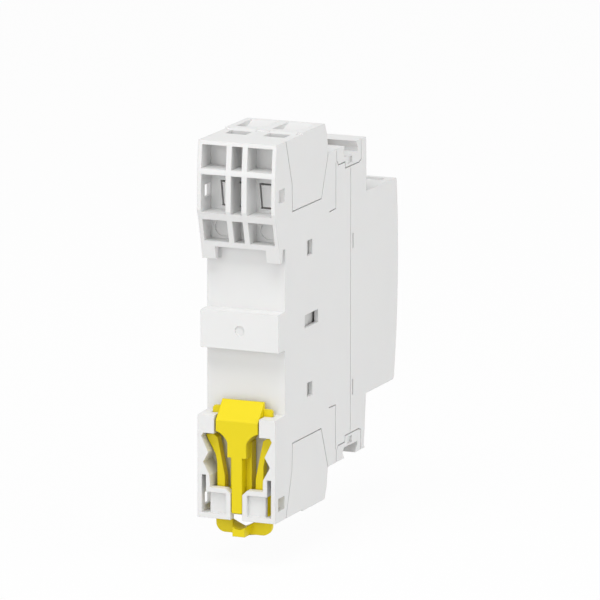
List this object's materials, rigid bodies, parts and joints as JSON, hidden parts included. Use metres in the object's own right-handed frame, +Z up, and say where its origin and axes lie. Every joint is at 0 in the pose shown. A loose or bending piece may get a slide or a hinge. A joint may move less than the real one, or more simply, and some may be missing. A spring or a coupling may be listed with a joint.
{
  "type": "modular contactor",
  "caption": "Narrow modular contactor for a 35 mm top-hat rail, with captive lift-clamp screw terminals, hooked rear legs and a sliding spring clip.",
  "frame": {"origin": "centre of the flat rear face that seats on the mounting rail", "axes": "+Z up along the housing's height, +Y towards the rail and wall, -Y to the front, X across the narrow width"},
  "size_m": [0.0176, 0.0671, 0.0845],
  "materials": {
    "housing_plastic": "fine-textured off-white polyamide",
    "clip_yellow": "satin yellow",
    "chamber_plastic": "matt light grey",
    "carrier_plastic": "matt black thermoset",
    "flag_plastic": "matt red",
    "bobbin_plastic": "matt",
    "core_steel": "laminated stack",
    "plated_steel": "zinc plated",
    "spring_steel": "drawn wire",
    "contact_brass": "stamped",
    "copper": "enamelled or bare copper",
    "silver": "silver alloy",
    "damper_rubber": "matt"
  },
  "bodies": {
    "housing": {"rear_housing": "housing_plastic", "front_cover": "housing_plastic", "contact_chamber": "chamber_plastic", "fixed_tips": "silver", "fixed_core": "core_steel", "core_damper": "damper_rubber", "coil_bobbin": "bobbin_plastic", "coil_winding": "copper", "upper_terminal_block": "housing_plastic", "upper_coil_block": "housing_plastic", "shading_ring_upper": "copper", "coil_tag_upper": "contact_brass", "coil_lead_upper": "copper", "fixed_contact_upper_right": "contact_brass", "fixed_contact_upper_left": "contact_brass", "lower_terminal_block": "housing_plastic", "lower_coil_block": "housing_plastic", "shading_ring_lower": "copper", "coil_tag_lower": "contact_brass", "coil_lead_lower": "copper", "fixed_contact_lower_right": "contact_brass", "fixed_contact_lower_left": "contact_brass"},
    "clip": {"rail_clip": "clip_yellow", "clip_spring_arms": "clip_yellow"},
    "carrier": {"contact_carrier": "carrier_plastic", "armature": "core_steel", "armature_pin": "plated_steel", "indicator_flag": "flag_plastic", "return_spring_upper": "spring_steel", "return_spring_lower": "spring_steel", "contact_spring_left": "spring_steel", "contact_spring_right": "spring_steel"},
    "bridge_right": {"contact_bridge_right": "contact_brass", "moving_tips_right": "silver"},
    "bridge_left": {"contact_bridge_left": "contact_brass", "moving_tips_left": "silver"},
    "screw_upper_right": {"power_screw_upper_right": "plated_steel"},
    "cage_upper_right": {"power_cage_upper_right": "plated_steel"},
    "screw_upper_left": {"power_screw_upper_left": "plated_steel"},
    "cage_upper_left": {"power_cage_upper_left": "plated_steel"},
    "coil_screw_upper": {"coil_screw_upper": "plated_steel"},
    "coil_cage_upper": {"coil_cage_upper": "plated_steel"},
    "screw_lower_right": {"power_screw_lower_right": "plated_steel"},
    "cage_lower_right": {"power_cage_lower_right": "plated_steel"},
    "screw_lower_left": {"power_screw_lower_left": "plated_steel"},
    "cage_lower_left": {"power_cage_lower_left": "plated_steel"},
    "coil_screw_lower": {"coil_screw_lower": "plated_steel"},
    "coil_cage_lower": {"coil_cage_lower": "plated_steel"}
  },
  "joints": [
    {"name": "clip_slide", "type": "slide", "parent": "housing", "child": "clip", "axis": [0, 0, -1], "range_m": [0, 0.0055], "deforming": ["clip_spring_arms"]},
    {"name": "carrier_slide", "type": "slide", "parent": "housing", "child": "carrier", "axis": [0, -1, 0], "range_m": [0, 0.004], "stiffness_N_per_m": 900, "springref_m": -0.0022, "deforming": ["return_spring_upper", "return_spring_lower"]},
    {"name": "bridge_right_slide", "type": "slide", "parent": "carrier", "child": "bridge_right", "axis": [0, 1, 0], "range_m": [0, 0.001], "deforming": ["contact_spring_right"]},
    {"name": "bridge_left_slide", "type": "slide", "parent": "carrier", "child": "bridge_left", "axis": [0, 1, 0], "range_m": [0, 0.001], "deforming": ["contact_spring_left"]},
    {"name": "power_upper_right_turn", "type": "hinge", "parent": "housing", "child": "screw_upper_right", "pos_m": [-0.0044, -0.02, 0.0364], "axis": [0, 1, 0], "range_deg": [0, 1440]},
    {"name": "power_upper_right_clamp", "type": "slide", "parent": "housing", "child": "cage_upper_right", "axis": [0, -1, 0], "range_m": [0, 0.0024]},
    {"name": "power_upper_left_turn", "type": "hinge", "parent": "housing", "child": "screw_upper_left", "pos_m": [0.0044, -0.02, 0.0364], "axis": [0, 1, 0], "range_deg": [0, 1440]},
    {"name": "power_upper_left_clamp", "type": "slide", "parent": "housing", "child": "cage_upper_left", "axis": [0, -1, 0], "range_m": [0, 0.0024]},
    {"name": "coil_upper_turn", "type": "hinge", "parent": "housing", "child": "coil_screw_upper", "pos_m": [0, -0.042, 0.0288], "axis": [0, 1, 0], "range_deg": [0, 1260]},
    {"name": "coil_upper_clamp", "type": "slide", "parent": "housing", "child": "coil_cage_upper", "axis": [0, -1, 0], "range_m": [0, 0.00175]},
    {"name": "power_lower_right_turn", "type": "hinge", "parent": "housing", "child": "screw_lower_right", "pos_m": [-0.0044, -0.02, -0.0364], "axis": [0, 1, 0], "range_deg": [0, 1440]},
    {"name": "power_lower_right_clamp", "type": "slide", "parent": "housing", "child": "cage_lower_right", "axis": [0, -1, 0], "range_m": [0, 0.0024]},
    {"name": "power_lower_left_turn", "type": "hinge", "parent": "housing", "child": "screw_lower_left", "pos_m": [0.0044, -0.02, -0.0364], "axis": [0, 1, 0], "range_deg": [0, 1440]},
    {"name": "power_lower_left_clamp", "type": "slide", "parent": "housing", "child": "cage_lower_left", "axis": [0, -1, 0], "range_m": [0, 0.0024]},
    {"name": "coil_lower_turn", "type": "hinge", "parent": "housing", "child": "coil_screw_lower", "pos_m": [0, -0.042, -0.0288], "axis": [0, 1, 0], "range_deg": [0, 1260]},
    {"name": "coil_lower_clamp", "type": "slide", "parent": "housing", "child": "coil_cage_lower", "axis": [0, -1, 0], "range_m": [0, 0.00175]}
  ],
  "couplings": [
    {"joint": "bridge_right_slide", "follows": "carrier_slide", "ratio": 0.25},
    {"joint": "bridge_left_slide", "follows": "carrier_slide", "ratio": 0.25},
    {"joint": "power_upper_right_turn", "follows": "power_upper_right_clamp", "rad_per_m": 10472},
    {"joint": "power_upper_left_turn", "follows": "power_upper_left_clamp", "rad_per_m": 10472},
    {"joint": "coil_upper_turn", "follows": "coil_upper_clamp", "rad_per_m": 12566},
    {"joint": "power_lower_right_turn", "follows": "power_lower_right_clamp", "rad_per_m": 10472},
    {"joint": "power_lower_left_turn", "follows": "power_lower_left_clamp", "rad_per_m": 10472},
    {"joint": "coil_lower_turn", "follows": "coil_lower_clamp", "rad_per_m": 12566}
  ]
}
